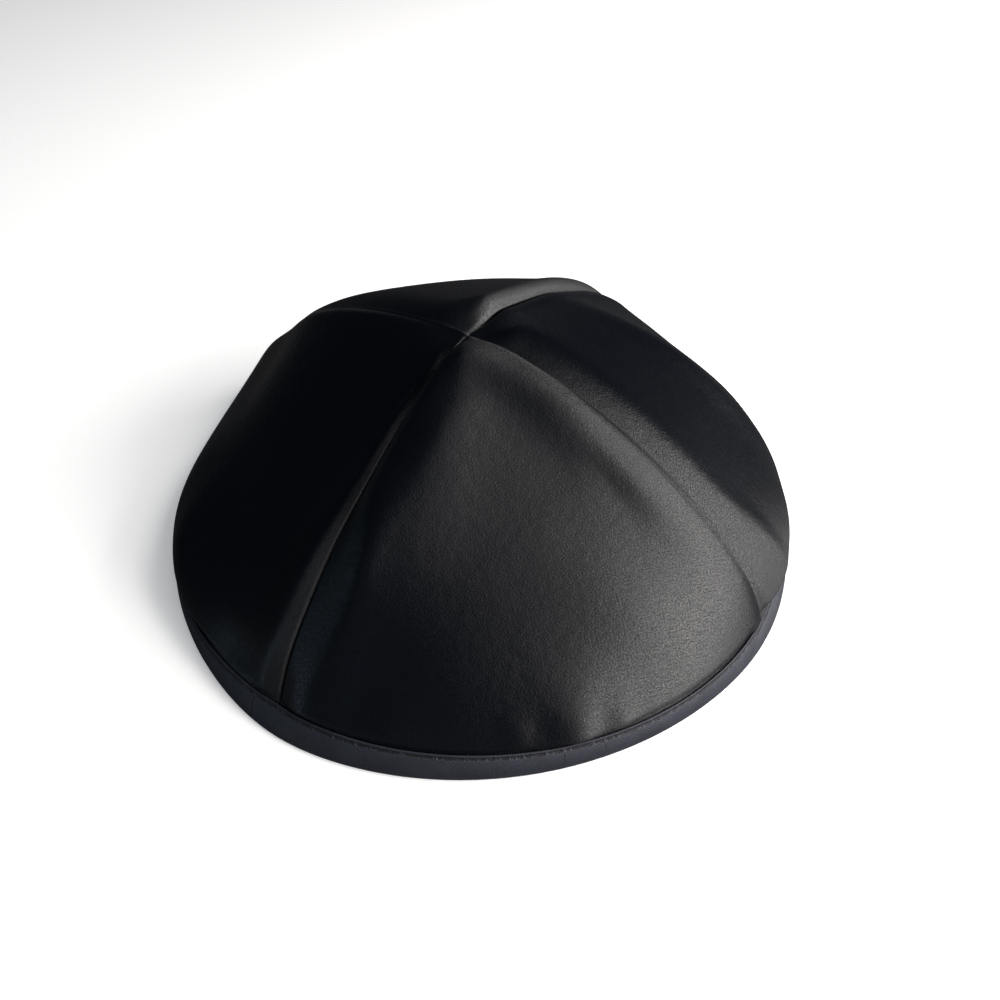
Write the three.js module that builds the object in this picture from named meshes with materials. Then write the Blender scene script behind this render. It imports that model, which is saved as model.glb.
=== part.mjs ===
// A four-panel satin skullcap with a bound rim, lying on its rim.
// Millimetres, +Z up. The origin is the middle of the cap's outline, on the surface that the rim
// rests on. The front panel faces -Y and the right panel faces +X.

import * as THREE from 'three';

// Driving dimensions.

const rimRadius = 88; // where the seams meet the resting surface
const crownHeight = 56.5; // from the resting surface to the point where the seams meet
const crownPoint = new THREE.Vector2(1.3, -0.6); // how far that point lies off the rim's centre
const outlineCentre = new THREE.Vector2(1.03, 0.27); // the middle of the outline, from the same

const wallThickness = 1.2; // the panels' layered cloth
const seamGap = 0.3; // between neighbouring panels
const topLevel = 0.993; // the panels stop just short of the crown's point

const tapeThickness = 1; // the rim's binding, of folded bias tape
const tapeWidth = 7.8; // how high the tape reaches, outside and inside
const tapeProud = 0.3; // how far the tape stands outside the cap's outline
const tapeFlare = 0.6; // how much further out its foot stands
const tapeGap = 0.3; // between the tape and the panels' edge inside it
const tapeRounding = 0.6; // at the tape's folded and turned edges
const releaseHeight = 11.8; // where the panels have swelled back out above the tape

// The seams run from the rim (level 0) to the crown's point (level 1), each a Bezier profile of
// radius and height. Lengths in mm and angles in degrees. azimuth places its foot. sideRise and
// sideLean are the handle that sets how it leaves the rim, crownRun and crownSlope the handle
// that sets how it reaches the crown, and twist is how far its azimuth has turned at the top.

const seams = {
  frontLeft: { azimuth: -130, sideRise: 11.8, sideLean: 5, crownRun: 49.3, crownSlope: 10, twist: -2 },
  frontRight: { azimuth: -46, sideRise: 16.8, sideLean: 10, crownRun: 48.4, crownSlope: 2, twist: 1 },
  backRight: { azimuth: 47, sideRise: 23.3, sideLean: 9, crownRun: 54.6, crownSlope: 3, twist: -4 },
  backLeft: { azimuth: 128, sideRise: 16.7, sideLean: 11, crownRun: 66.8, crownSlope: 2, twist: 4 },
};

// A panel is a horizontal arc between its two seams at each level. Its bulge is the arc's rise
// over its chord, as four Bezier values from the rim to the crown; a quarter circle has 0.207.
// Its skew, at the rim, halfway and at the crown, leans the arc towards its first seam.

const panels = [
  {
    name: 'panel_front',
    from: seams.frontLeft,
    to: seams.frontRight,
    bulge: [0.182, 0.285, -0.035, 0.031],
    skew: [-0.016, 0.03, 0.013],
  },
  {
    name: 'panel_right',
    from: seams.frontRight,
    to: seams.backRight,
    bulge: [0.182, 0.159, 0.091, 0.14],
    skew: [-0.008, -0.03, 0.016],
  },
  {
    name: 'panel_back',
    from: seams.backRight,
    to: seams.backLeft,
    bulge: [0.187, 0.07, 0.142, 0.045],
    skew: [0.022, 0.03, -0.013],
  },
  {
    name: 'panel_left',
    from: seams.backLeft,
    to: seams.frontLeft,
    bulge: [0.191, 0.221, -0.046, 0.03],
    skew: [-0.026, -0.011, 0.015],
  },
];

// Beside each seam the cloth rises off it to a soft ridge, where the turned-in allowance ends.
// run is the ridge's distance from the seam and lift its height, each at the rim and the crown.
// softness rounds the ridge over, and fall is how many runs it takes to die out behind it.

const ridges = [
  { panel: 'panel_front', seam: 'from', run: [4.8, 14.8], lift: [1.3, 3.05], softness: 0.05, fall: 2.2 },
  { panel: 'panel_front', seam: 'to', run: [2.8, 10.9], lift: [0, 2.9], softness: 0.4, fall: 9 },
  { panel: 'panel_right', seam: 'from', run: [10.8, 7.6], lift: [2.38, 4.2], softness: 0.23, fall: 1.4 },
  { panel: 'panel_right', seam: 'to', run: [7.3, 2], lift: [1.56, 0.01], softness: 0.04, fall: 0.5 },
  { panel: 'panel_back', seam: 'from', run: [2.5, 3.4], lift: [0, 4.2], softness: 0.24, fall: 1.7 },
  { panel: 'panel_back', seam: 'to', run: [11.2, 6.3], lift: [0, 3.58], softness: 0.35, fall: 5.2 },
  { panel: 'panel_left', seam: 'from', run: [5.7, 2], lift: [4, 0], softness: 0.1, fall: 6.7 },
  { panel: 'panel_left', seam: 'to', run: [5.3, 2.6], lift: [2.45, 1.7], softness: 0.07, fall: 3 },
];

// Folds and hollows of the cloth. sideways in mm from the panel's middle and level place each
// one, halfWidth and halfLength in mm are its reach across and up the panel before turn, in
// degrees, and lift is its height, less than 0 in a hollow.

const folds = [
  {
    where: 'crest beside the right seam', panel: 'panel_front', sideways: 13.7, level: 0.75,
    halfWidth: 4.8, halfLength: 34.5, turn: 44, lift: 1.55,
  },
  {
    where: 'crest beside the left seam, lower half', panel: 'panel_front', sideways: -37.9, level: 0.41,
    halfWidth: 5.2, halfLength: 56.7, turn: -28, lift: 0.52,
  },
  {
    where: 'crest beside the left seam, upper half', panel: 'panel_front', sideways: -20, level: 0.76,
    halfWidth: 7.3, halfLength: 10.8, turn: -34, lift: -1.15,
  },
  {
    where: 'valley at the lower left', panel: 'panel_front', sideways: -14.6, level: 0.32,
    halfWidth: 11.4, halfLength: 18.9, turn: -60, lift: 0.62,
  },
  {
    where: 'hollow at the lower left', panel: 'panel_front', sideways: -42.1, level: 0.29,
    halfWidth: 9.4, halfLength: 19.9, turn: -34, lift: -2,
  },
  {
    where: 'swelling at the lower right', panel: 'panel_front', sideways: 22.3, level: 0.37,
    halfWidth: 15.7, halfLength: 7.9, turn: -28, lift: 1.47,
  },
  {
    where: 'rise beside the right seam', panel: 'panel_front', sideways: 17.7, level: 0.76,
    halfWidth: 3.4, halfLength: 18.3, turn: 56, lift: 1.37,
  },
  {
    where: 'swelling above the tape', panel: 'panel_front', sideways: 6.1, level: 0.22,
    halfWidth: 11.6, halfLength: 16.7, turn: 7, lift: 2,
  },
  {
    where: 'left of the middle', panel: 'panel_front', sideways: -17.6, level: 0.74,
    halfWidth: 11.7, halfLength: 60, turn: -31, lift: 2,
  },
  {
    where: 'belly over the tape', panel: 'panel_left', sideways: -0.3, level: 0.24,
    halfWidth: 38.3, halfLength: 9.8, turn: 3, lift: 3.47,
  },
  {
    where: 'fold at the foot of the front seam', panel: 'panel_left', sideways: 58.5, level: 0.21,
    halfWidth: 7.6, halfLength: 14.5, turn: 60, lift: -2,
  },
  {
    where: 'hollow in the middle', panel: 'panel_left', sideways: 17.7, level: 0.6,
    halfWidth: 25, halfLength: 21.5, turn: 2, lift: -2,
  },
  {
    where: 'swelling above the tape', panel: 'panel_left', sideways: 15.4, level: 0.28,
    halfWidth: 16.1, halfLength: 5.7, turn: -22, lift: 1.96,
  },
  {
    where: 'ridge beside the front seam', panel: 'panel_left', sideways: 43.8, level: 0.52,
    halfWidth: 4.2, halfLength: 12.4, turn: 41, lift: 0.79,
  },
  {
    where: 'dent in the outline', panel: 'panel_left', sideways: -44.5, level: 0.43,
    halfWidth: 13.1, halfLength: 25.9, turn: 56, lift: -2,
  },
  {
    where: 'belly over the tape, by the front seam', panel: 'panel_right', sideways: -34, level: 0.17,
    halfWidth: 20, halfLength: 14, turn: 0, lift: 2.6,
  },
  {
    where: 'belly over the tape, in the middle', panel: 'panel_right', sideways: 0, level: 0.17,
    halfWidth: 30, halfLength: 14, turn: 0, lift: 2.2,
  },
  {
    where: 'bulge over the tape, beside the front seam', panel: 'panel_right', sideways: -52, level: 0.17,
    halfWidth: 13, halfLength: 14, turn: 0, lift: 0.5,
  },
  {
    where: 'hollow before the back seam', panel: 'panel_right', sideways: 32.9, level: 0.34,
    halfWidth: 15.8, halfLength: 36.9, turn: -4, lift: -2,
  },
  {
    where: 'foot of the front seam', panel: 'panel_right', sideways: -46.6, level: 0.28,
    halfWidth: 3.5, halfLength: 13.8, turn: -17, lift: 0.59,
  },
  {
    where: 'swelling in the middle', panel: 'panel_right', sideways: 4.1, level: 0.42,
    halfWidth: 6.9, halfLength: 27, turn: -31, lift: 2,
  },
  {
    where: 'pucker above the tape', panel: 'panel_front', sideways: 11.8, level: 0.2,
    halfWidth: 2.8, halfLength: 6, turn: 0, lift: -0.5,
  },
  {
    where: 'second pucker above the tape', panel: 'panel_front', sideways: -3, level: 0.22,
    halfWidth: 3, halfLength: 6, turn: 0, lift: -0.4,
  },
];

const narrowShare = 0.35; // the most of the arc that a ridge may lie from its seam
const panelLength = 100; // roughly, from the rim to the crown over the cloth

// The tape is too stiff to turn a corner at a seam, so the outline is rounded off there:
// cornerTurn is half the corner between two panels' arcs, in radians, and cornerReach is in mm.
const cornerTurn = 0.085;
const cornerReach = 12;

const easing = 4; // over this far from a seam the panels' folds are eased to meet

// The mesh's fineness, and how strongly its columns crowd towards the seams, where the folds are.

const columns = 22;
const rows = 18;
const crowding = 0.7;
const halvings = 24; // of the level, when a height is looked up

// What stands between the cap's outline and the panels' outer face inside the tape.
const tuckDepth = tapeThickness + tapeGap - tapeProud;
const foldHeight = tapeThickness + tapeRounding / 2; // the top of the tape's fold, inside it
const panelFoot = tapeThickness + tapeGap + tapeRounding / 2;

const { degToRad, smoothstep, lerp } = THREE.MathUtils;

const bell = (ratio) => Math.exp(-(ratio ** 2));

// A cubic Bezier of plain numbers.
function blend([a, b, c, d], t) {
  const u = 1 - t;
  return u ** 3 * a + 3 * u ** 2 * t * b + 3 * u * t ** 2 * c + t ** 3 * d;
}

function seamPoint(seam, level) {
  const lean = degToRad(seam.sideLean);
  const slope = degToRad(seam.crownSlope);
  const radii = [
    rimRadius,
    rimRadius + seam.sideRise * Math.sin(lean),
    seam.crownRun * Math.cos(slope),
    0,
  ];
  const heights = [
    0,
    seam.sideRise * Math.cos(lean),
    crownHeight - seam.crownRun * Math.sin(slope),
    crownHeight,
  ];
  const azimuth = degToRad(seam.azimuth + seam.twist * level ** 2);
  const radius = blend(radii, level);
  const drift = level ** 1.5;
  return new THREE.Vector3(
    radius * Math.cos(azimuth) + drift * crownPoint.x,
    radius * Math.sin(azimuth) + drift * crownPoint.y,
    blend(heights, level),
  );
}

// The arc across a panel at one level: its ends, its half angle and its radius.
function panelArc(panel, level) {
  const start = seamPoint(panel.from, level);
  const end = seamPoint(panel.to, level);
  const span = Math.hypot(end.x - start.x, end.y - start.y);
  const halfAngle = 2 * Math.atan(2 * blend(panel.bulge, level));
  return { start, end, span, halfAngle, radius: span / (2 * Math.sin(halfAngle)) };
}

// A point of the cap's outline, at across 0 on the panel's first seam and 1 on its second.
function outlinePoint(panel, level, across) {
  const { start, end, span, halfAngle, radius } = panelArc(panel, level);
  const turn = (2 * across - 1) * halfAngle;
  const outward = new THREE.Vector3(end.y - start.y, start.x - end.x, 0).divideScalar(span);
  const share = 0.5 + (radius * Math.sin(turn)) / span;
  const [low, middle, high] = panel.skew;
  const skew = low * (1 - level) ** 2 + 2 * middle * level * (1 - level) + high * level ** 2;
  const lean = skew * smoothstep(level, 0, 0.25) * span * Math.sin(2 * Math.PI * across);
  const rise = radius * (Math.cos(turn) - Math.cos(halfAngle)) + lean;
  const point = start.lerp(end, share).addScaledVector(outward, rise);
  const apart = Math.min(across, 1 - across) * 2 * halfAngle * radius;
  const pulled = cornerTurn * (Math.hypot(apart, cornerReach) - apart) * (1 - smoothstep(point.z, 8, 20));
  const pull = 1 - pulled / Math.hypot(point.x, point.y);
  return point.multiply(new THREE.Vector3(pull, pull, 1));
}

// The level at which a column of the panel reaches a height, by halving.
function levelAtHeight(panel, across, height) {
  let low = 0;
  let high = 1;
  for (let step = 0; step < halvings; step += 1) {
    const middle = (low + high) / 2;
    if (outlinePoint(panel, middle, across).z < height) {
      low = middle;
    } else {
      high = middle;
    }
  }
  return (low + high) / 2;
}

// Moves a point towards the middle of the rim.
const pushedIn = (point, depth) => point.clone().setLength(point.length() - depth);

// The ridges die out towards the crown, where the panel is too narrow for them.
function ridgeLift(panel, level, across, arcLength) {
  let total = 0;
  for (const ridge of ridges.filter((each) => each.panel === panel.name)) {
    const run = Math.min(lerp(...ridge.run, level), narrowShare * arcLength);
    const place = (arcLength * (ridge.seam === 'from' ? across : 1 - across)) / run;
    const corner = 0.5 * (place + 1 - Math.sqrt((place - 1) ** 2 + ridge.softness));
    const behind = Math.exp(-(place - corner) / ridge.fall);
    total += lerp(...ridge.lift, level) * corner * behind;
  }
  return total * smoothstep(arcLength, 5, 22);
}

function foldLift(panel, level, across, arcLength) {
  let total = 0;
  for (const fold of folds.filter((each) => each.panel === panel.name)) {
    const turn = degToRad(fold.turn);
    const sideways = (across - 0.5) * arcLength - fold.sideways;
    const upward = (level - fold.level) * panelLength;
    const wide = sideways * Math.cos(turn) + upward * Math.sin(turn);
    const tall = upward * Math.cos(turn) - sideways * Math.sin(turn);
    total += fold.lift * bell(wide / fold.halfWidth) * bell(tall / fold.halfLength);
  }
  return total;
}

// What the folds lift a panel's edge by: side is 0 at the panel's first seam and 1 at its second.
function edgeLift(panel, side, level) {
  const { halfAngle, radius } = panelArc(panel, level);
  return foldLift(panel, level, side, 2 * halfAngle * radius);
}

// Two panels are sewn together at a seam, so the higher edge comes down to the lower one.
function meetingLift(seam, level) {
  const edges = [];
  for (const panel of panels) {
    if (panel.from === seam) edges.push(edgeLift(panel, 0, level));
    if (panel.to === seam) edges.push(edgeLift(panel, 1, level));
  }
  return Math.min(...edges);
}

// A panel's outer face: the outline with its ridges and folds, tucked in behind the tape.
function clothPoint(panel, level, across) {
  const point = outlinePoint(panel, level, across);
  const { halfAngle, radius } = panelArc(panel, level);
  const arcLength = 2 * halfAngle * radius;
  const free = smoothstep(point.z, tapeWidth, releaseHeight);
  let lift = ridgeLift(panel, level, across, arcLength) + foldLift(panel, level, across, arcLength);
  for (const side of [0, 1]) {
    const step = meetingLift(side === 0 ? panel.from : panel.to, level) - edgeLift(panel, side, level);
    const away = Math.abs(across - side);
    lift += step * (1 - away) * bell((away * arcLength) / easing);
  }
  return pushedIn(point, (1 - free) * tuckDepth - free * lift);
}

function columnShare(column) {
  const even = column / columns;
  return even - (crowding * Math.sin(2 * Math.PI * even)) / (2 * Math.PI);
}

// The first row is the panel's foot, the second lies at the tape's top, and the rest share out
// what is left up to the crown, so that the wall is straight where the tape holds it.
function rowLevel(panel, across, row) {
  if (row === 0) {
    return levelAtHeight(panel, across, panelFoot);
  }
  const tapeTop = levelAtHeight(panel, across, tapeWidth);
  return lerp(tapeTop, topLevel, (row - 1) / (rows - 1));
}

// The triangles of a grid of points whose rows are closed loops, such as a wall's or a tape's
// section. Where wrapRows is true the last row also joins the first.
function loopedGrid(rowCount, columnCount, wrapRows, indexAt) {
  const quads = [];
  const lastRow = wrapRows ? rowCount : rowCount - 1;
  for (let row = 0; row < lastRow; row += 1) {
    for (let column = 0; column < columnCount; column += 1) {
      const nextRow = (row + 1) % rowCount;
      const nextColumn = (column + 1) % columnCount;
      const a = indexAt(row, column);
      const b = indexAt(row, nextColumn);
      const c = indexAt(nextRow, nextColumn);
      const d = indexAt(nextRow, column);
      quads.push(a, b, c, a, c, d);
    }
  }
  return quads;
}

function geometryOf(points, indices) {
  const geometry = new THREE.BufferGeometry().setFromPoints(points);
  geometry.setIndex(indices);
  geometry.computeVertexNormals();
  return geometry;
}

// A panel's wall is one loop of points round its edge and both faces, row by row:
// out along the outer face and back along the inner one, with a cap on the first and last row.
function panelGeometry(panel) {
  const points = [];
  const loopLength = 2 * (columns + 1);
  for (let row = 0; row <= rows; row += 1) {
    const outer = [];
    for (let column = 0; column <= columns; column += 1) {
      const share = columnShare(column);
      const level = rowLevel(panel, share, row);
      const inset = seamGap / 2 / panelArc(panel, level).span;
      outer.push(clothPoint(panel, level, lerp(inset, 1 - inset, share)));
    }
    const inner = outer.map((point) => pushedIn(point, wallThickness)).reverse();
    points.push(...outer, ...inner);
  }
  const indexAt = (row, place) => row * loopLength + place;
  const opposite = (place) => loopLength - 1 - place;
  const indices = loopedGrid(rows + 1, loopLength, false, indexAt);
  for (let column = 0; column < columns; column += 1) {
    const bottom = [column, opposite(column), opposite(column + 1), column + 1];
    const top = bottom.map((place) => indexAt(rows, place)).reverse();
    for (const [a, b, c, d] of [bottom, top]) {
      indices.push(a, b, c, a, c, d);
    }
  }
  return geometryOf(points, indices);
}

// The tape's section, as places outside the cap's outline and above the resting surface.
// It runs round the tape from under its inner leg: up that leg, down into the fold, then up
// inside the outer leg and down its outer face.
function tapeSection() {
  const r = tapeRounding;
  const outerFace = tapeProud;
  const grooveOut = tapeProud - tapeThickness;
  const grooveIn = -tuckDepth - wallThickness - tapeGap;
  const innerFace = grooveIn - tapeThickness;
  return [
    { out: innerFace + 1.3 * r, height: 0 },
    { out: innerFace + 0.3 * r, height: 0.4 * r },
    { out: innerFace, height: 1.4 * r },
    { out: innerFace, height: tapeWidth - r },
    { out: innerFace + 0.5 * r, height: tapeWidth },
    { out: grooveIn, height: tapeWidth - 0.3 * r },
    { out: grooveIn, height: foldHeight + 0.5 * r },
    { out: grooveIn + 0.4 * r, height: foldHeight },
    { out: grooveOut - 0.4 * r, height: foldHeight },
    { out: grooveOut, height: foldHeight + 0.5 * r },
    { out: grooveOut, height: tapeWidth - 0.3 * r },
    { out: outerFace - 0.5 * r, height: tapeWidth },
    { out: outerFace, height: tapeWidth - r },
    { out: outerFace + tapeFlare, height: 1.4 * r },
    { out: outerFace + tapeFlare - 0.3 * r, height: 0.4 * r },
    { out: outerFace + tapeFlare - 1.3 * r, height: 0 },
  ];
}

// The binding follows the outline all the way round, on the same columns as the panels.
function bindingGeometry() {
  const section = tapeSection();
  const points = [];
  for (const panel of panels) {
    for (let column = 0; column < columns; column += 1) {
      const share = columnShare(column);
      for (const { out, height } of section) {
        const point = outlinePoint(panel, levelAtHeight(panel, share, height), share);
        const flat = new THREE.Vector2(point.x, point.y);
        flat.setLength(flat.length() + out);
        points.push(new THREE.Vector3(flat.x, flat.y, height));
      }
    }
  }
  const stations = panels.length * columns;
  const indexAt = (station, place) => station * section.length + place;
  return geometryOf(points, loopedGrid(stations, section.length, true, indexAt));
}

// Materials.

const satin = { color: 0x101013, roughness: 0.42, metalness: 0 };
const biasTape = { color: 0x1c1d22, roughness: 0.8, metalness: 0 };

function piece(name, geometry, finish) {
  const mesh = new THREE.Mesh(geometry, new THREE.MeshStandardMaterial(finish));
  mesh.name = name;
  return mesh;
}

// The cap.

const cap = new THREE.Group();
cap.position.set(-outlineCentre.x, -outlineCentre.y, 0);
for (const panel of panels) {
  cap.add(piece(panel.name, panelGeometry(panel), satin));
}
cap.add(piece('rim_binding', bindingGeometry(), biasTape));

export default cap;
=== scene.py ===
import math

import bmesh
import bpy
import numpy as np
from mathutils import Matrix, Vector


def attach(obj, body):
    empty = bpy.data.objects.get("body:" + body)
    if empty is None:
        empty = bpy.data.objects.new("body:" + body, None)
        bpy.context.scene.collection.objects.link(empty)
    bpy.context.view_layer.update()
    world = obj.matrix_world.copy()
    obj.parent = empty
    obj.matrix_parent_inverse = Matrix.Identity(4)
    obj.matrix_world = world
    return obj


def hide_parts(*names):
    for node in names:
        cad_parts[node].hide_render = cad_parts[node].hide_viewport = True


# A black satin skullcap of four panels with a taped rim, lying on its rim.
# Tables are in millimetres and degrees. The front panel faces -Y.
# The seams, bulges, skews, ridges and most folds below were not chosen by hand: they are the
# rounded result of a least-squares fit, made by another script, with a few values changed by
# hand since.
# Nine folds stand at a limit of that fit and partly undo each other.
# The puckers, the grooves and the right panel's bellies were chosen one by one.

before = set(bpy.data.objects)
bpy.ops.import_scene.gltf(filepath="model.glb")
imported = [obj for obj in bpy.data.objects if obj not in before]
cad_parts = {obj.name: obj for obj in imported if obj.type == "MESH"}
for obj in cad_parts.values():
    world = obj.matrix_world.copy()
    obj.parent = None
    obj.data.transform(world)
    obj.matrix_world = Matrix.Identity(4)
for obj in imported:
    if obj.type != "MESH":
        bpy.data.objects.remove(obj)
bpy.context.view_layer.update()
mm = 0.001
print("frame loaded")

form = {
    "rimRadius": 88.0,
    "crownHeight": 56.5,
    "crownPoint": (1.3, -0.6),  # how far the crown's point lies off the rim's centre
    "centre": (1.03, 0.27),  # the middle of the outline, which is the frame's origin
    "tapeTop": 7.8,
    "released": 9.4,  # where the cloth has swelled back out above the tape
    "tuck": 0.5,  # how far the cloth lies inside the outline behind the tape
    "wall": 1.2,
    "easing": 2.5,  # over this far from a seam the panels' folds are eased to meet
    "cornerTurn": 0.085,  # half the corner between two panels' arcs at the rim, in radians
    "cornerReach": 12,
    "cornerFade": (8, 20),  # heights over which the rounded corner gives way to the seam
    "skewFade": 0.25,  # the level at which a panel's lean has come in
    "narrowShare": 0.35,  # the most of an arc that a ridge may lie from its seam
    "ridgeFade": (5, 22),  # arc lengths over which the ridges die out towards the crown
    "panelLength": 100,  # roughly, from the rim to the crown over the cloth
    "halvings": 24,  # of the level, when a height is looked up
}

seams = {
    "frontLeft": {
        "azimuth": -130, "sideRise": 11.8, "sideLean": 5,
        "crownRun": 49.3, "crownSlope": 10, "twist": -2,
        "grooveDepth": (0.45, 0.45), "grooveReach": (0.45, 0.45),
    },
    "frontRight": {
        "azimuth": -46, "sideRise": 16.8, "sideLean": 10,
        "crownRun": 48.4, "crownSlope": 2, "twist": 1,
        "grooveDepth": (0, 0.4), "grooveReach": (2.5, 0.35),
    },
    "backRight": {
        "azimuth": 47, "sideRise": 23.3, "sideLean": 9,
        "crownRun": 54.6, "crownSlope": 3, "twist": -4,
        "grooveDepth": (0.7, 0.7), "grooveReach": (0.8, 0.8),
    },
    "backLeft": {
        "azimuth": 128, "sideRise": 16.7, "sideLean": 11,
        "crownRun": 66.8, "crownSlope": 2, "twist": 4,
        "grooveDepth": (-0.2, -0.2), "grooveReach": (0.5, 0.5),
    },
}

# bulge is the arc's rise over its chord from the rim to the crown, and skew leans it to one side.
# Beside each seam the cloth rises off it to a soft ridge, where the turned-in allowance ends: run
# is the ridge's distance from the seam and lift its height, each at the rim and at the crown.
# A fold lies at a distance from the panel's middle and at a level, and lift is less than 0 in a
# hollow. Its size is its reach to the sides and up the panel.
panels = {
    "panel_front": {
        "seams": ("frontLeft", "frontRight"),
        "bulge": (0.182, 0.285, -0.035, 0.031),
        "skew": (-0.016, 0.03, 0.013),
        "ridges": (
            {"run": (4.8, 14.8), "lift": (1.3, 3.05), "soft": 0.05, "fall": 2.2},
            {"run": (2.8, 10.9), "lift": (0, 2.9), "soft": 0.4, "fall": 9},
        ),
        "folds": (
            {"where": "crest beside the right seam",
             "at": (13.7, 0.75), "size": (4.8, 34.5), "turn": 44, "lift": 1.55},
            {"where": "crest beside the left seam, lower half",
             "at": (-37.9, 0.41), "size": (5.2, 56.7), "turn": -28, "lift": 0.52},
            {"where": "dip beside the left seam, upper half",
             "at": (-20, 0.76), "size": (7.3, 10.8), "turn": -34, "lift": -1.15},
            {"where": "slight rise at the lower left",
             "at": (-14.6, 0.32), "size": (11.4, 18.9), "turn": -60, "lift": 0.62},
            {"where": "hollow at the lower left",
             "at": (-42.1, 0.29), "size": (9.4, 19.9), "turn": -34, "lift": -2},
            {"where": "swelling at the lower right",
             "at": (22.3, 0.37), "size": (15.7, 7.9), "turn": -28, "lift": 1.47},
            {"where": "rise beside the right seam",
             "at": (17.7, 0.76), "size": (3.4, 18.3), "turn": 56, "lift": 1.37},
            {"where": "swelling above the tape",
             "at": (6.1, 0.22), "size": (11.6, 16.7), "turn": 7, "lift": 2},
            {"where": "long rise left of the middle",
             "at": (-17.6, 0.74), "size": (11.7, 60), "turn": -31, "lift": 2},
            {"where": "first pucker, its crest",
             "at": (6.2, 0.2), "size": (2.4, 5.5), "turn": 0, "lift": 0.3},
            {"where": "first pucker, its hollow",
             "at": (11.8, 0.19), "size": (2.4, 5.5), "turn": 0, "lift": -0.45},
            {"where": "first pucker, its far side",
             "at": (16.8, 0.18), "size": (2.2, 4.5), "turn": 0, "lift": 0.3},
            {"where": "second pucker, its crest",
             "at": (-7, 0.22), "size": (2.6, 5), "turn": 0, "lift": 0.25},
            {"where": "second pucker, its hollow",
             "at": (-1.5, 0.22), "size": (3, 5), "turn": 0, "lift": -0.4},
            {"where": "end of the crest beside the right seam",
             "at": (24.3, 0.58), "size": (2.6, 8), "turn": 38, "lift": -0.35},
            {"where": "rise beside the right seam, near the crown",
             "at": (9.4, 0.87), "size": (2.4, 11), "turn": 44, "lift": 0.7},
            {"where": "second crest beside the left seam",
             "at": (-30.3, 0.56), "size": (3, 10), "turn": -33, "lift": 0.8},
        ),
    },
    "panel_right": {
        "seams": ("frontRight", "backRight"),
        "bulge": (0.182, 0.159, 0.091, 0.14),
        "skew": (-0.008, -0.03, 0.016),
        "ridges": (
            {"run": (10.8, 7.6), "lift": (2.38, 4.2), "soft": 0.231, "fall": 1.4},
            {"run": (7.3, 2), "lift": (1.56, 0.01), "soft": 0.041, "fall": 0.5},
        ),
        "folds": (
            {"where": "belly over the tape, by the front seam",
             "at": (-34, 0.17), "size": (20, 14), "turn": 0, "lift": 2.6},
            {"where": "belly over the tape, in the middle",
             "at": (0, 0.17), "size": (30, 14), "turn": 0, "lift": 2.2},
            {"where": "bulge over the tape, beside the front seam",
             "at": (-52, 0.17), "size": (13, 14), "turn": 0, "lift": 0.5},
            {"where": "hollow before the back seam",
             "at": (32.9, 0.34), "size": (15.8, 36.9), "turn": -4, "lift": -2},
            {"where": "rise at the foot of the front seam",
             "at": (-46.6, 0.28), "size": (3.5, 13.8), "turn": -17, "lift": 0.59},
            {"where": "swelling in the middle",
             "at": (4.1, 0.42), "size": (6.9, 27), "turn": -31, "lift": 2},
        ),
    },
    "panel_back": {
        "seams": ("backRight", "backLeft"),
        "bulge": (0.187, 0.07, 0.142, 0.045),
        "skew": (0.022, 0.03, -0.013),
        "ridges": (
            {"run": (2.5, 3.4), "lift": (0, 4.2), "soft": 0.238, "fall": 1.7},
            {"run": (11.2, 6.3), "lift": (0, 3.58), "soft": 0.35, "fall": 5.2},
        ),
        "folds": (
        ),
    },
    "panel_left": {
        "seams": ("backLeft", "frontLeft"),
        "bulge": (0.191, 0.221, -0.046, 0.03),
        "skew": (-0.026, -0.011, 0.015),
        "ridges": (
            {"run": (5.7, 2), "lift": (4, 0), "soft": 0.102, "fall": 6.7},
            {"run": (5.3, 2.6), "lift": (2.1, 1.4), "soft": 0.068, "fall": 3},
        ),
        "folds": (
            {"where": "belly over the tape",
             "at": (-0.3, 0.24), "size": (38.3, 9.8), "turn": 3, "lift": 3.47},
            {"where": "hollow at the foot of the front seam",
             "at": (58.5, 0.21), "size": (7.6, 14.5), "turn": 60, "lift": -2},
            {"where": "hollow in the middle",
             "at": (17.7, 0.6), "size": (25, 21.5), "turn": 2, "lift": -2},
            {"where": "swelling above the tape",
             "at": (15.4, 0.28), "size": (16.1, 5.7), "turn": -22, "lift": 1.96},
            {"where": "ridge beside the front seam",
             "at": (43.8, 0.52), "size": (4.2, 12.4), "turn": 41, "lift": 0.79},
            {"where": "dent in the outline",
             "at": (-44.5, 0.43), "size": (13.1, 25.9), "turn": 56, "lift": -2},
            {"where": "flat beside the front seam, near the crown",
             "at": (12, 0.87), "size": (2.6, 9), "turn": 45, "lift": -0.9},
        ),
    },
}


def blend(values, t):
    a, b, c, d = values
    u = 1 - t
    return u**3 * a + 3 * u**2 * t * b + 3 * u * t**2 * c + t**3 * d


def smooth(x, low, high):
    t = np.clip((x - low) / (high - low), 0, 1)
    return t * t * (3 - 2 * t)


def seamPoint(name, level):
    seam = seams[name]
    lean, slope = math.radians(seam["sideLean"]), math.radians(seam["crownSlope"])
    radii = (
        form["rimRadius"],
        form["rimRadius"] + seam["sideRise"] * math.sin(lean),
        seam["crownRun"] * math.cos(slope),
        0,
    )
    heights = (
        0,
        seam["sideRise"] * math.cos(lean),
        form["crownHeight"] - seam["crownRun"] * math.sin(slope),
        form["crownHeight"],
    )
    azimuth = np.radians(seam["azimuth"] + seam["twist"] * level**2)
    radius = blend(radii, level)
    drift = level**1.5
    x = radius * np.cos(azimuth) + drift * form["crownPoint"][0] - form["centre"][0]
    y = radius * np.sin(azimuth) + drift * form["crownPoint"][1] - form["centre"][1]
    return np.stack([x, y, blend(heights, level)], -1)


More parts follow.
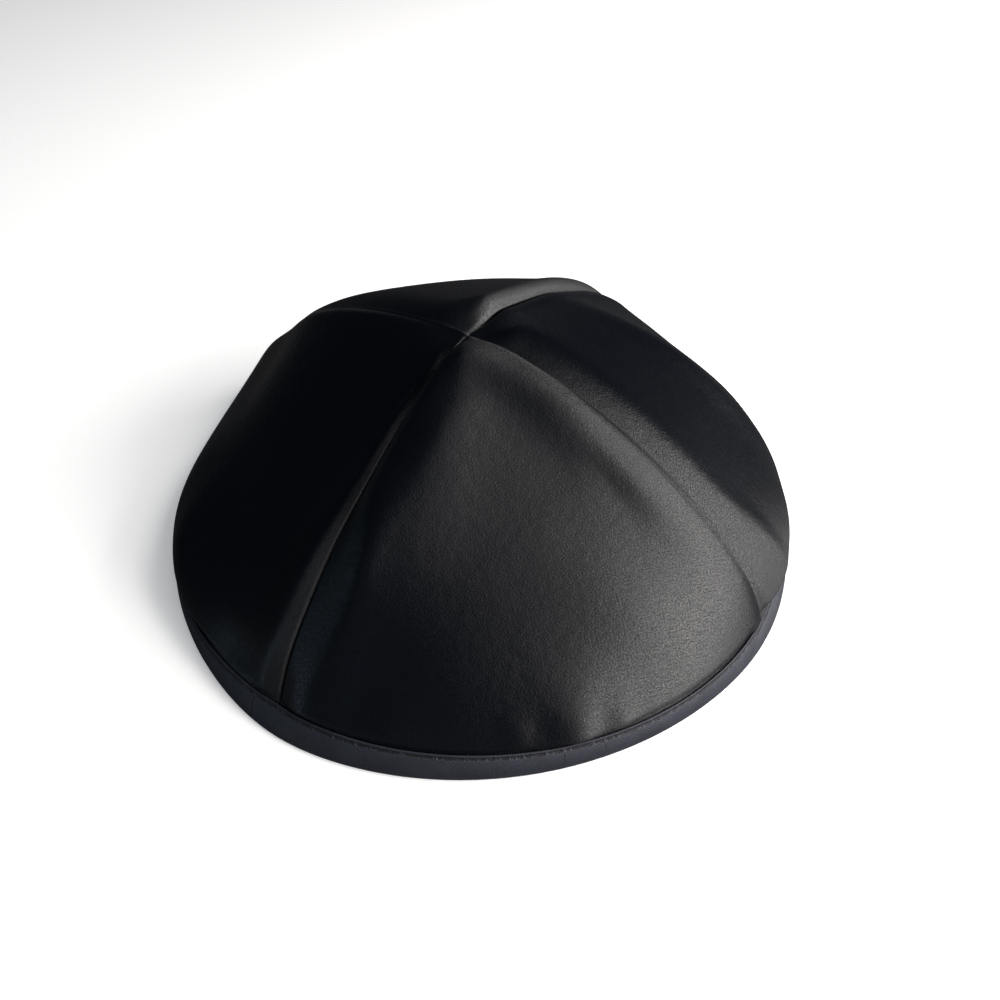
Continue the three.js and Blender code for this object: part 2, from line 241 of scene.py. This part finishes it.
def panelArc(panel, level):
    # the horizontal arc across a panel at a level
    start, end = (seamPoint(name, level) for name in panel["seams"])
    chord = (end - start)[..., :2]
    span = np.maximum(np.linalg.norm(chord, axis=-1), 1e-6)
    halfAngle = 2 * np.arctan(2 * blend(panel["bulge"], level))
    return start, end, span, halfAngle, span / (2 * np.sin(halfAngle))


def outlinePoint(panel, level, across):
    start, end, span, halfAngle, radius = panelArc(panel, level)
    turn = (2 * across - 1) * halfAngle
    share = (0.5 + radius * np.sin(turn) / span)[..., None]
    low, middle, high = panel["skew"]
    skew = low * (1 - level) ** 2 + 2 * middle * level * (1 - level) + high * level**2
    lean = skew * smooth(level, 0, form["skewFade"]) * span * np.sin(2 * np.pi * across)
    rise = (radius * (np.cos(turn) - np.cos(halfAngle)) + lean)[..., None]
    chord = end - start
    outward = np.stack([chord[..., 1], -chord[..., 0], 0 * span], -1) / span[..., None]
    point = start * (1 - share) + end * share + outward * rise
    # the tape is too stiff to turn a corner at a seam, so the outline is rounded off there
    apart = np.minimum(across, 1 - across) * 2 * halfAngle * radius
    pulled = form["cornerTurn"] * (np.sqrt(apart**2 + form["cornerReach"] ** 2) - apart)
    pulled = pulled * (1 - smooth(point[..., 2], *form["cornerFade"]))
    point[..., :2] *= (1 - pulled / np.hypot(point[..., 0], point[..., 1]))[..., None]
    return point


def levelAtHeight(panel, across, height):
    low, high = np.zeros_like(across), np.ones_like(across)
    for _ in range(form["halvings"]):
        middle = (low + high) / 2
        below = outlinePoint(panel, middle, across)[..., 2] < height
        low, high = np.where(below, middle, low), np.where(below, high, middle)
    return (low + high) / 2


def ridgeLift(ridge, distance, level, arcLength):
    # a straight rise to the ridge, rounded over it, and a slow fall behind it
    run = ridge["run"][0] + (ridge["run"][1] - ridge["run"][0]) * level
    lift = ridge["lift"][0] + (ridge["lift"][1] - ridge["lift"][0]) * level
    x = distance / np.minimum(run, form["narrowShare"] * arcLength)
    corner = 0.5 * (x + 1 - np.sqrt((x - 1) ** 2 + ridge["soft"]))
    fall = np.exp(-(x - corner) / ridge["fall"])
    return lift * smooth(arcLength, *form["ridgeFade"]) * corner * fall


def foldLift(fold, across, level, arcLength):
    turn = math.radians(fold["turn"])
    sideways = (across - 0.5) * arcLength - fold["at"][0]
    upwards = (level - fold["at"][1]) * form["panelLength"]
    wide = (sideways * math.cos(turn) + upwards * math.sin(turn)) / fold["size"][0]
    tall = (upwards * math.cos(turn) - sideways * math.sin(turn)) / fold["size"][1]
    return fold["lift"] * np.exp(-(wide**2) - tall**2)


def edgeLift(panel, side, level):
    # what a panel's folds lift its edge by
    _, _, _, halfAngle, radius = panelArc(panel, level)
    return sum(foldLift(fold, side, level, 2 * halfAngle * radius) for fold in panel["folds"])


def meetingLift(name, level):
    # the two panels' edges are sewn together, so the higher one comes down to the lower
    return np.minimum(*(
        edgeLift(panel, side, level)
        for panel in panels.values() for side, seam in enumerate(panel["seams"]) if seam == name
    ))


def clothPoint(panel, level, across):
    point = outlinePoint(panel, level, across)
    _, _, _, halfAngle, radius = panelArc(panel, level)
    arcLength = 2 * halfAngle * radius
    free = smooth(point[..., 2], form["tapeTop"], form["released"])
    lift = 0
    distances = (across * arcLength, (1 - across) * arcLength)
    for side, (name, ridge, distance) in enumerate(zip(panel["seams"], panel["ridges"], distances)):
        lift = lift + ridgeLift(ridge, distance, level, arcLength)
        step = meetingLift(name, level) - edgeLift(panel, side, level)
        nearer = 1 - across if side == 0 else across
        lift = lift + step * nearer * np.exp(-((distance / form["easing"]) ** 2))
        depth, reach = (
            atCrown + (atRim - atCrown) * (1 - level) ** 2
            for atRim, atCrown in (seams[name]["grooveDepth"], seams[name]["grooveReach"])
        )
        lift = lift - depth * np.exp(-((distance / reach) ** 2))
    for fold in panel["folds"]:
        lift = lift + foldLift(fold, across, level, arcLength)
    depth = (1 - free) * form["tuck"] - free * lift
    length = np.linalg.norm(point, axis=-1)
    return point * (1 - depth / length)[..., None]


def newMaterial(name):
    material = bpy.data.materials.new(name)
    material.use_nodes = True
    material.node_tree.nodes.clear()
    return material, material.node_tree.nodes, material.node_tree.links


def newGroup(name, inputs, outputs):
    group = bpy.data.node_groups.new(name, "ShaderNodeTree")
    for label, kind, value in inputs:
        socket = group.interface.new_socket(name=label, in_out="INPUT", socket_type=kind)
        if value is not None:
            socket.default_value = value
    for label, kind in outputs:
        group.interface.new_socket(name=label, in_out="OUTPUT", socket_type=kind)
    return group, group.nodes, group.links


def joinMath(nodes, links, operation, *values):
    # the values are sockets or plain numbers
    node = nodes.new("ShaderNodeMath")
    node.operation = operation
    for slot, value in enumerate(values):
        if isinstance(value, (int, float)):
            node.inputs[slot].default_value = value
        else:
            links.new(value, node.inputs[slot])
    return node.outputs[0]


def makeFloatGrain():
    # the long threads that lie on top of a satin: streaks and short flecks along them
    group, nodes, links = newGroup(
        "floatGrain",
        [("Vector", "NodeSocketVector", None), ("Length mm", "NodeSocketFloat", 4.0),
         ("Width mm", "NodeSocketFloat", 0.35), ("Detail", "NodeSocketFloat", 2.0)],
        [("Value", "NodeSocketFloat")],
    )
    given, out = nodes.new("NodeGroupInput"), nodes.new("NodeGroupOutput")
    split = nodes.new("ShaderNodeSeparateXYZ")
    links.new(given.outputs["Vector"], split.inputs[0])
    along = joinMath(nodes, links, "DIVIDE", split.outputs[0], given.outputs["Length mm"])
    over = joinMath(nodes, links, "DIVIDE", split.outputs[1], given.outputs["Width mm"])
    joined = nodes.new("ShaderNodeCombineXYZ")
    links.new(along, joined.inputs[0])
    links.new(over, joined.inputs[1])
    noise = nodes.new("ShaderNodeTexNoise")
    noise.inputs["Scale"].default_value = 1000  # the map is in metres
    links.new(joined.outputs[0], noise.inputs["Vector"])
    links.new(given.outputs["Detail"], noise.inputs["Detail"])
    links.new(noise.outputs["Fac"], out.inputs["Value"])
    return group


def makePlainWeave():
    # over-and-under cloth cut on the bias, with uneven threads
    group, nodes, links = newGroup(
        "plainWeave",
        [("Vector", "NodeSocketVector", None), ("Pitch mm", "NodeSocketFloat", 0.5),
         ("Turn", "NodeSocketFloat", math.radians(45)), ("Uneven", "NodeSocketFloat", 3)],
        [("Height", "NodeSocketFloat"), ("Tone", "NodeSocketFloat")],
    )
    given, out = nodes.new("NodeGroupInput"), nodes.new("NodeGroupOutput")
    turned = nodes.new("ShaderNodeVectorRotate")
    turned.rotation_type = "Z_AXIS"
    links.new(given.outputs["Vector"], turned.inputs["Vector"])
    links.new(given.outputs["Turn"], turned.inputs["Angle"])
    split = nodes.new("ShaderNodeSeparateXYZ")
    links.new(turned.outputs[0], split.inputs[0])
    rate = joinMath(nodes, links, "DIVIDE", 1000 * math.pi, given.outputs["Pitch mm"])
    warp, weft = (
        joinMath(nodes, links, "SINE", joinMath(nodes, links, "MULTIPLY", output, rate), 0)
        for output in split.outputs[:2]
    )
    crossing = joinMath(nodes, links, "MULTIPLY", warp, weft)
    lifted = joinMath(nodes, links, "ABSOLUTE", crossing, 0)
    tones = []
    for scale in (2200, 170):  # the fuzz of the threads and broad blotches
        noise = nodes.new("ShaderNodeTexNoise")
        noise.inputs["Scale"].default_value = scale
        noise.inputs["Detail"].default_value = 3
        links.new(given.outputs["Vector"], noise.inputs["Vector"])
        tones.append(noise.outputs["Fac"])
    fuzz = joinMath(nodes, links, "MULTIPLY", tones[0], given.outputs["Uneven"])
    links.new(joinMath(nodes, links, "ADD", lifted, fuzz), out.inputs["Height"])
    blotches = joinMath(nodes, links, "ADD", tones[0], tones[1])
    links.new(joinMath(nodes, links, "MULTIPLY", blotches, 0.5), out.inputs["Tone"])
    return group


floatGrain = makeFloatGrain()
plainWeave = makePlainWeave()


def placeGroup(nodes, links, group, vector, **values):
    node = nodes.new("ShaderNodeGroup")
    node.node_tree = group
    links.new(vector, node.inputs["Vector"])
    for label, value in values.items():
        node.inputs[label.replace("_", " ")].default_value = value
    return node


def ramp(nodes, links, factor, low, high, span=(0.3, 0.7)):
    # a colour that runs from low to high
    node = nodes.new("ShaderNodeValToRGB")
    node.color_ramp.elements[0].position, node.color_ramp.elements[1].position = span
    node.color_ramp.elements[0].color = (*low, 1)
    node.color_ramp.elements[1].color = (*high, 1)
    links.new(factor, node.inputs["Fac"])
    return node.outputs["Color"]


# each layer of the grain has a length along the threads, a width, a detail and a height, in mm,
# and how far it takes the roughness up or down
satinLook = {
    "dark": (0.0008, 0.0011, 0.0022), "light": (0.0018, 0.0022, 0.0034), "roughness": 0.48,
    "anisotropy": 0.815, "ior": 1.35,
    "spread": 0.25,  # of a turn: the gloss spreads across the threads
    "grain": (
        (0.5, 0.36, 2, 0.072, -0.9),
        (4, 0.4, 1, 0.03, -0.25),
        (2.6, 2.2, 3, 0.09, 0),
        (16, 12, 1, 0.2, 0),
    ),
}


def makeSatin():
    look = satinLook
    material, nodes, links = newMaterial("blackSatin")
    out = nodes.new("ShaderNodeOutputMaterial")
    skin = nodes.new("ShaderNodeBsdfPrincipled")
    place = nodes.new("ShaderNodeUVMap")
    place.uv_map = "cloth"
    relief, rough = 0, look["roughness"]
    for length, width, detail, height, sheen in look["grain"]:
        layer = placeGroup(nodes, links, floatGrain, place.outputs["UV"],
                           Length_mm=length, Width_mm=width, Detail=detail)
        layer.label = f"grain {length} mm"
        lifted = joinMath(nodes, links, "MULTIPLY", layer.outputs["Value"], height)
        relief = joinMath(nodes, links, "ADD", relief, lifted)
        if sheen:
            centred = joinMath(nodes, links, "SUBTRACT", layer.outputs["Value"], 0.5)
            shift = joinMath(nodes, links, "MULTIPLY", centred, sheen)
            rough = joinMath(nodes, links, "ADD", rough, shift)
        if length < 1:
            tone = ramp(nodes, links, layer.outputs["Value"], look["dark"], look["light"])
            links.new(tone, skin.inputs["Base Color"])
    links.new(rough, skin.inputs["Roughness"])
    bump = nodes.new("ShaderNodeBump")
    bump.inputs["Distance"].default_value = mm
    links.new(relief, bump.inputs["Height"])
    links.new(bump.outputs[0], skin.inputs["Normal"])
    lay = nodes.new("ShaderNodeTangent")
    lay.direction_type = "UV_MAP"
    lay.uv_map = "cloth"
    links.new(lay.outputs[0], skin.inputs["Tangent"])
    skin.inputs["Anisotropic"].default_value = look["anisotropy"]
    skin.inputs["Anisotropic Rotation"].default_value = look["spread"]
    skin.inputs["IOR"].default_value = look["ior"]
    links.new(skin.outputs["BSDF"], out.inputs["Surface"])
    return material


tapeLook = {
    "dark": (0.005, 0.006, 0.011), "light": (0.018, 0.02, 0.03), "roughness": 0.62, "ior": 1.4,
    "pitch": 0.42, "bump": 0.035,
    # the stitch groove's height and half width, and the painted shade colour that darkens it
    "grooveHeight": 7.1, "grooveHalfWidth": 0.45, "groovePaintedShade": (0.0015, 0.0015, 0.004),
    "grooveSunk": -6,  # in heights of the weave
    "wanderLength": 1.3, "wanderWidth": 40, "wanderRange": (5, -1.6),
}


def makeTape():
    look = tapeLook
    material, nodes, links = newMaterial("biasTape")
    out = nodes.new("ShaderNodeOutputMaterial")
    skin = nodes.new("ShaderNodeBsdfPrincipled")
    place = nodes.new("ShaderNodeUVMap")
    place.uv_map = "cloth"
    weave = placeGroup(nodes, links, plainWeave, place.outputs["UV"], Pitch_mm=look["pitch"])
    tone = ramp(nodes, links, weave.outputs["Tone"], look["dark"], look["light"])
    # the stitching pulls an uneven groove into the tape, and painted shade darkens the colour along
    # that groove
    split = nodes.new("ShaderNodeSeparateXYZ")
    links.new(place.outputs["UV"], split.inputs[0])
    wander = placeGroup(nodes, links, floatGrain, place.outputs["UV"],
                        Length_mm=look["wanderLength"], Width_mm=look["wanderWidth"], Detail=2)
    off = joinMath(nodes, links, "SUBTRACT", split.outputs[1], look["grooveHeight"] * mm)
    away = joinMath(nodes, links, "ABSOLUTE", off, 0)
    near = joinMath(nodes, links, "DIVIDE", away, look["grooveHalfWidth"] * mm)
    near = joinMath(nodes, links, "SUBTRACT", 1, near)
    uneven = joinMath(nodes, links, "MULTIPLY_ADD", wander.outputs["Value"], *look["wanderRange"])
    pull = nodes.new("ShaderNodeMath")
    pull.operation = "MULTIPLY"
    pull.use_clamp = True
    links.new(joinMath(nodes, links, "MULTIPLY", near, 2), pull.inputs[0])
    links.new(uneven, pull.inputs[1])
    # painted shade: the groove mask mixes a darker colour into the tape's own tone
    paintedGrooveShade = nodes.new("ShaderNodeMix")
    paintedGrooveShade.data_type = "RGBA"
    paintedGrooveShade.inputs["B"].default_value = (*look["groovePaintedShade"], 1)
    links.new(pull.outputs[0], paintedGrooveShade.inputs["Factor"])
    links.new(tone, paintedGrooveShade.inputs["A"])
    links.new(paintedGrooveShade.outputs["Result"], skin.inputs["Base Color"])
    bump = nodes.new("ShaderNodeBump")
    bump.inputs["Distance"].default_value = look["bump"] * mm
    sunk = joinMath(nodes, links, "MULTIPLY", pull.outputs[0], look["grooveSunk"])
    links.new(joinMath(nodes, links, "ADD", weave.outputs["Height"], sunk), bump.inputs["Height"])
    links.new(bump.outputs[0], skin.inputs["Normal"])
    skin.inputs["Roughness"].default_value = look["roughness"]
    skin.inputs["IOR"].default_value = look["ior"]
    links.new(skin.outputs["BSDF"], out.inputs["Surface"])
    return material


threadLook = {
    "dark": (0.003, 0.003, 0.005), "light": (0.008, 0.008, 0.011), "roughness": 0.7,
    "fibreScale": 3000, "bump": 0.03,
}


def makeThread():
    look = threadLook
    material, nodes, links = newMaterial("sewingThread")
    out = nodes.new("ShaderNodeOutputMaterial")
    skin = nodes.new("ShaderNodeBsdfPrincipled")
    place = nodes.new("ShaderNodeTexCoord")
    noise = nodes.new("ShaderNodeTexNoise")
    noise.inputs["Scale"].default_value = look["fibreScale"]
    links.new(place.outputs["Object"], noise.inputs["Vector"])
    tone = ramp(nodes, links, noise.outputs["Fac"], look["dark"], look["light"])
    links.new(tone, skin.inputs["Base Color"])
    bump = nodes.new("ShaderNodeBump")
    bump.inputs["Distance"].default_value = look["bump"] * mm
    links.new(noise.outputs["Fac"], bump.inputs["Height"])
    links.new(bump.outputs[0], skin.inputs["Normal"])
    skin.inputs["Roughness"].default_value = look["roughness"]
    links.new(skin.outputs["BSDF"], out.inputs["Surface"])
    return material


satin, tape, thread = makeSatin(), makeTape(), makeThread()
print("materials made")


panelMesh = {
    "columns": 130, "rows": 110,
    "crowding": 0.8,  # how strongly the columns crowd towards the seams
    "foot": 1.6,  # the height of the panels' lower edge, inside the tape
    "clothRadius": 97, "clothDrop": 41,  # the ball that the cloth is laid flat from
}


def chordDirections(panel):
    # along the panel's chord at the rim, and outwards
    start, end = (seamPoint(name, np.array(0.0)) for name in panel["seams"])
    chord = (end - start)[:2] / np.linalg.norm((end - start)[:2])
    return np.array([chord[0], chord[1], 0]), np.array([chord[1], -chord[0], 0])


def layCloth(panel, points):
    # the cloth laid flat, with its long threads along U
    along, outwards = chordDirections(panel)
    radius, drop = panelMesh["clothRadius"] * mm, panelMesh["clothDrop"] * mm
    u = radius * np.arcsin(np.clip(points @ along / radius, -1, 1))
    return u, radius * np.arctan2(points[:, 2] + drop, points @ outwards)


def setMap(obj, makeMap):
    # makeMap turns loop positions and face middles into U and V
    mesh = obj.data
    places = np.empty(len(mesh.vertices) * 3)
    mesh.vertices.foreach_get("co", places)
    corners = np.empty(len(mesh.loops), dtype=int)
    mesh.loops.foreach_get("vertex_index", corners)
    middles = np.empty(len(mesh.polygons) * 3)
    mesh.polygons.foreach_get("center", middles)
    counts = np.empty(len(mesh.polygons), dtype=int)
    mesh.polygons.foreach_get("loop_total", counts)
    points = places.reshape(-1, 3)[corners]
    u, v = makeMap(points, np.repeat(middles.reshape(-1, 3), counts, axis=0))
    layer = mesh.uv_layers.new(name="cloth")
    layer.data.foreach_set("uv", np.stack([u, v], -1).ravel())


def finishObject(bm, name, material):
    mesh = bpy.data.meshes.new(name)
    bm.to_mesh(mesh)
    bm.free()
    obj = bpy.data.objects.new(name, mesh)
    bpy.context.scene.collection.objects.link(obj)
    obj.data.materials.append(material)
    mesh.shade_smooth()
    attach(obj, "root")
    return obj


def makePanel(name):
    panel = panels[name]
    bm = bmesh.new()
    columns, rows = panelMesh["columns"], panelMesh["rows"]
    bmesh.ops.create_grid(bm, x_segments=columns, y_segments=rows, size=0.5)
    flat = np.array([v.co for v in bm.verts])
    even, up = flat[:, 0] + 0.5, flat[:, 1] + 0.5
    across = even - panelMesh["crowding"] * np.sin(2 * np.pi * even) / (2 * np.pi)
    foot = levelAtHeight(panel, across, panelMesh["foot"])
    level = foot + (1 - foot) * up
    for vert, point in zip(bm.verts, clothPoint(panel, level, across) * mm):
        vert.co = point
    inner = bmesh.ops.duplicate(bm, geom=bm.faces[:])["geom"]
    for vert in inner:
        if isinstance(vert, bmesh.types.BMVert):
            vert.co *= 1 - form["wall"] * mm / vert.co.length
    innerFaces = [face for face in inner if isinstance(face, bmesh.types.BMFace)]
    bmesh.ops.reverse_faces(bm, faces=innerFaces)
    bmesh.ops.bridge_loops(bm, edges=[edge for edge in bm.edges if edge.is_boundary])
    bmesh.ops.remove_doubles(bm, verts=bm.verts, dist=0.001 * mm)
    bmesh.ops.recalc_face_normals(bm, faces=bm.faces)
    obj = finishObject(bm, name.replace("panel_", "satin_"), satin)
    setMap(obj, lambda points, middles: layCloth(panel, points))
    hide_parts(name)
    return obj


for name in panels:
    makePanel(name)
print("panels made")


tapeForm = {
    "thickness": 0.7, "proud": 0.3, "flare": 0.6, "gap": 0.2, "stations": 480,
    "joint": {"azimuth": -50, "step": 1, "run": 60, "drop": 1.3},
}


def outlineRadius(azimuths, height):
    # the outline's distance from the frame's origin at a height, all the way round
    turns, radii = [], []
    for panel in panels.values():
        across = np.linspace(0, 1, 60, endpoint=False)
        point = outlinePoint(panel, levelAtHeight(panel, across, height), across)
        turns.append(np.arctan2(point[:, 1], point[:, 0]))
        radii.append(np.hypot(point[:, 0], point[:, 1]))
    turns, radii = np.concatenate(turns), np.concatenate(radii)
    order = np.argsort(turns)
    return np.interp(azimuths, turns[order], radii[order], period=2 * math.pi)


def tapeDrop(azimuth):
    # the tape's end laps over its start, so its top edge steps down there
    joint = tapeForm["joint"]
    past = (np.degrees(azimuth) - joint["azimuth"]) % 360
    rise, fade = smooth(past, 0, joint["step"]), 1 - smooth(past, joint["step"], joint["run"])
    return joint["drop"] * rise * fade


def layRing(points, middles):
    # U runs round the rim and V up the tape
    radius = form["rimRadius"] * mm
    turn = np.arctan2(middles[:, 1], middles[:, 0])
    step = np.arctan2(points[:, 1], points[:, 0]) - turn
    step = (step + math.pi) % (2 * math.pi) - math.pi
    drop = tapeDrop(turn) * smooth(points[:, 2] / mm, 2, 5) * mm
    return (turn + step) * radius, points[:, 2] + drop


def makeTapeRing():
    t, top, flare = tapeForm["thickness"], form["tapeTop"], tapeForm["flare"]
    outer = tapeForm["proud"]
    groove = outer - t
    grooveIn = -form["tuck"] - form["wall"] - tapeForm["gap"]
    inner = grooveIn - t
    # distance outside the outline, and height
    section = [
        (inner + 0.7, 0), (inner + 0.15, 0.25), (inner, 0.8), (inner, 4), (inner, top - 1.4),
        (inner + 0.15, top - 0.75), (inner, top - 0.3), (inner + 0.25, top),
        (grooveIn, top - 0.15), (grooveIn, 4), (grooveIn, t + 0.6), (grooveIn + 0.3, t + 0.3),
        (groove - 0.3, t + 0.3), (groove, t + 0.6), (groove, 4), (groove, top - 0.15),
        (outer - 0.25, top), (outer, top - 0.3), (outer - 0.3, top - 0.7), (outer, top - 1.15),
        (outer + 0.5 * flare, 4), (outer + flare, 0.9),
        (outer + flare - 0.2, 0.25), (outer + flare - 0.8, 0),
    ]
    nominal = form["rimRadius"]
    bm = bmesh.new()
    ring = [bm.verts.new((nominal + out, 0, height)) for out, height in section]
    edges = [bm.edges.new((a, b)) for a, b in zip(ring, ring[1:] + ring[:1])]
    bmesh.ops.spin(
        bm, geom=ring + edges, cent=(0, 0, 0), axis=(0, 0, 1), angle=2 * math.pi,
        steps=tapeForm["stations"], use_merge=True,
    )
    flat = np.array([v.co for v in bm.verts])
    azimuth = np.arctan2(flat[:, 1], flat[:, 0])
    out = np.hypot(flat[:, 0], flat[:, 1]) - nominal
    radius = np.zeros(len(flat))
    for height in {round(z, 4) for _, z in section}:
        at = np.abs(flat[:, 2] - height) < 1e-3
        radius[at] = outlineRadius(azimuth[at], height) + out[at]
    level = flat[:, 2] - tapeDrop(azimuth) * smooth(flat[:, 2], 3, top - 1.2)
    for vert, r, a, z in zip(bm.verts, radius, azimuth, level):
        vert.co = Vector((r * math.cos(a), r * math.sin(a), z)) * mm
    bmesh.ops.recalc_face_normals(bm, faces=bm.faces)
    obj = finishObject(bm, "tape_rim", tape)
    setMap(obj, layRing)
    soften = obj.modifiers.new("soften", "SUBSURF")
    soften.levels = 1
    soften.render_levels = 1
    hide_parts("rim_binding")
    return obj


makeTapeRing()
print("tape made")


stitch = {
    "count": 230, "long": 1.6, "thick": 0.34,
    "below": 0.7,  # the tape's top edge
    "sunk": 0.33, "proudInside": 0.2,
}


def makeStitches(name, out):
    # one row of the machine stitch that holds the tape, out from the outline
    bm = bmesh.new()
    height = form["tapeTop"] - stitch["below"]
    turns = np.arange(stitch["count"]) * 2 * math.pi / stitch["count"]
    for turn, radius in zip(turns, outlineRadius(turns, height)):
        made = bmesh.ops.create_uvsphere(bm, u_segments=6, v_segments=6, radius=0.5)["verts"]
        thick = stitch["thick"]
        bmesh.ops.scale(bm, vec=(thick, stitch["long"], thick), verts=made)
        bmesh.ops.rotate(bm, matrix=Matrix.Rotation(turn, 3, "Z"), verts=made)
        away = radius + out
        up = height - tapeDrop(turn)
        bmesh.ops.translate(bm, vec=(away * math.cos(turn), away * math.sin(turn), up), verts=made)
    bmesh.ops.scale(bm, vec=(mm, mm, mm), verts=bm.verts)
    return finishObject(bm, name, thread)


makeStitches("stitches_outside", tapeForm["proud"] - stitch["sunk"])
innerFace = -form["tuck"] - form["wall"] - tapeForm["gap"] - tapeForm["thickness"]
makeStitches("stitches_inside", innerFace + stitch["proudInside"])
print("stitches made")


floorLook = {"size": 3, "toCap": 0.12, "toCamera": 0.9, "glow": 0.3}


def makeFloor():
    bm = bmesh.new()
    bmesh.ops.create_grid(bm, x_segments=1, y_segments=1, size=floorLook["size"])
    mesh = bpy.data.meshes.new("floor")
    bm.to_mesh(mesh)
    bm.free()
    floor = bpy.data.objects.new("floor", mesh)
    bpy.context.scene.collection.objects.link(floor)
    material, nodes, links = newMaterial("paleFloor")
    out = nodes.new("ShaderNodeOutputMaterial")
    skin = nodes.new("ShaderNodeBsdfPrincipled")
    skin.inputs["Roughness"].default_value = 1
    skin.inputs["Specular IOR Level"].default_value = 0
    path = nodes.new("ShaderNodeLightPath")  # the cap sees a greyer floor than the camera does
    tone = nodes.new("ShaderNodeMix")
    tone.data_type = "RGBA"
    tone.inputs["A"].default_value = (*[floorLook["toCap"]] * 3, 1)
    tone.inputs["B"].default_value = (*[floorLook["toCamera"]] * 3, 1)
    links.new(path.outputs["Is Camera Ray"], tone.inputs["Factor"])
    skin.inputs["Emission Color"].default_value = (*[floorLook["glow"]] * 3, 1)
    links.new(path.outputs["Is Camera Ray"], skin.inputs["Emission Strength"])
    links.new(tone.outputs["Result"], skin.inputs["Base Color"])
    links.new(skin.outputs["BSDF"], out.inputs["Surface"])
    mesh.materials.append(material)


# a bank of soft boxes to the right of the front, and a weak one behind:
# azimuth, elevation, distance, size and power, in metres and watts
softBoxes = {
    "low0": (-75, 9, 1, (0.34, 0.32), 1.1),
    "low1": (-55, 9, 1, (0.34, 0.32), 4.1),
    "low2": (-35, 9, 1, (0.34, 0.32), 6.6),
    "low3": (-15, 9, 1, (0.34, 0.32), 3),
    "low4": (5, 9, 1, (0.34, 0.32), 3.2),
    "mid0": (-70, 28, 1, (0.34, 0.32), 0.6),
    "mid1": (-45, 28, 1, (0.34, 0.32), 4),
    "mid2": (-20, 28, 1, (0.34, 0.32), 5.4),
    "mid3": (5, 28, 1, (0.34, 0.32), 3.1),
    "high1": (-60, 52, 1, (0.4, 0.32), 1),
    "high2": (-20, 52, 1, (0.4, 0.32), 4.4),
    "top": (-60, 72, 1, (0.5, 0.5), 0.9),
    "back": (90, 12, 1.1, (0.9, 0.3), 0.15),
}
# weak cool ones to the left
coolBoxes = {
    "left1": (-165, 8, 1, (0.34, 0.32), 0.95),
    "left2": (-125, 20, 1, (0.34, 0.32), 0.25),
}


def makeLight(name, azimuth, elevation, distance, size, power, colour=(1, 1, 1)):
    # azimuth is measured from +X towards +Y, as the seams' is
    data = bpy.data.lights.new(name, "AREA")
    data.shape = "RECTANGLE"
    data.size, data.size_y = size
    data.energy = power
    data.color = colour
    light = bpy.data.objects.new(name, data)
    a, e = math.radians(azimuth), math.radians(elevation)
    place = distance * Vector((math.cos(e) * math.cos(a), math.cos(e) * math.sin(a), math.sin(e)))
    light.location = place
    light.visible_camera = False
    light.rotation_euler = place.to_track_quat("Z", "Y").to_euler()
    bpy.context.scene.collection.objects.link(light)


# the camera's values came out of a fit too; focus is in thousandths of the frame's width
cameraView = {
    "azimuth": -96.394, "elevation": 40.861, "roll": -3.817, "distance": 261.0,
    "lookAt": (-1.03, -0.27, 11.723), "focus": 944.34, "shift": (0.02942, -0.02907), "sensor": 36,
}


def makeCamera():
    view = cameraView
    data = bpy.data.cameras.new("camera")
    data.sensor_width = view["sensor"]
    data.lens = view["focus"] / 1000 * view["sensor"]
    data.shift_x, data.shift_y = view["shift"]
    data.clip_start = 0.01
    camera = bpy.data.objects.new("camera", data)
    a, e = math.radians(view["azimuth"]), math.radians(view["elevation"])
    back = Vector((math.cos(e) * math.cos(a), math.cos(e) * math.sin(a), math.sin(e)))
    right = Vector((0, 0, 1)).cross(back).normalized()
    up = back.cross(right)
    turn = math.radians(view["roll"])
    c, s = math.cos(turn), math.sin(turn)
    right, up = right * c + up * s, up * c - right * s
    place = (Vector(view["lookAt"]) + back * view["distance"]) * mm
    facing = Matrix((right, up, back)).transposed().to_4x4()
    camera.matrix_world = Matrix.Translation(place) @ facing
    bpy.context.scene.collection.objects.link(camera)
    bpy.context.scene.camera = camera


makeFloor()
lightColours = {"warm": (1, 0.975, 0.945), "cool": (0.6, 0.82, 1)}
for name, place in softBoxes.items():
    makeLight(name, *place, colour=lightColours["warm"])
for name, place in coolBoxes.items():
    makeLight(name, *place, colour=lightColours["cool"])
makeCamera()
print("floor, lights and camera made")
studio = {"fill": (0.3, 0.55, 1), "fillStrength": 0.03, "wall": 0.95}
world = bpy.data.worlds.new("studio")
world.use_nodes = True
nodes, links = world.node_tree.nodes, world.node_tree.links
fill = nodes["Background"]  # a faint cool fill, behind which the camera sees a pale wall
fill.inputs["Color"].default_value = (*studio["fill"], 1)
fill.inputs["Strength"].default_value = studio["fillStrength"]
wall = nodes.new("ShaderNodeBackground")
wall.inputs["Color"].default_value = (*[studio["wall"]] * 3, 1)
both = nodes.new("ShaderNodeMixShader")
links.new(nodes.new("ShaderNodeLightPath").outputs["Is Camera Ray"], both.inputs["Fac"])
links.new(fill.outputs[0], both.inputs[1])
links.new(wall.outputs[0], both.inputs[2])
links.new(both.outputs[0], nodes["World Output"].inputs["Surface"])
bpy.context.scene.world = world
bpy.context.scene.view_settings.view_transform = "Standard"
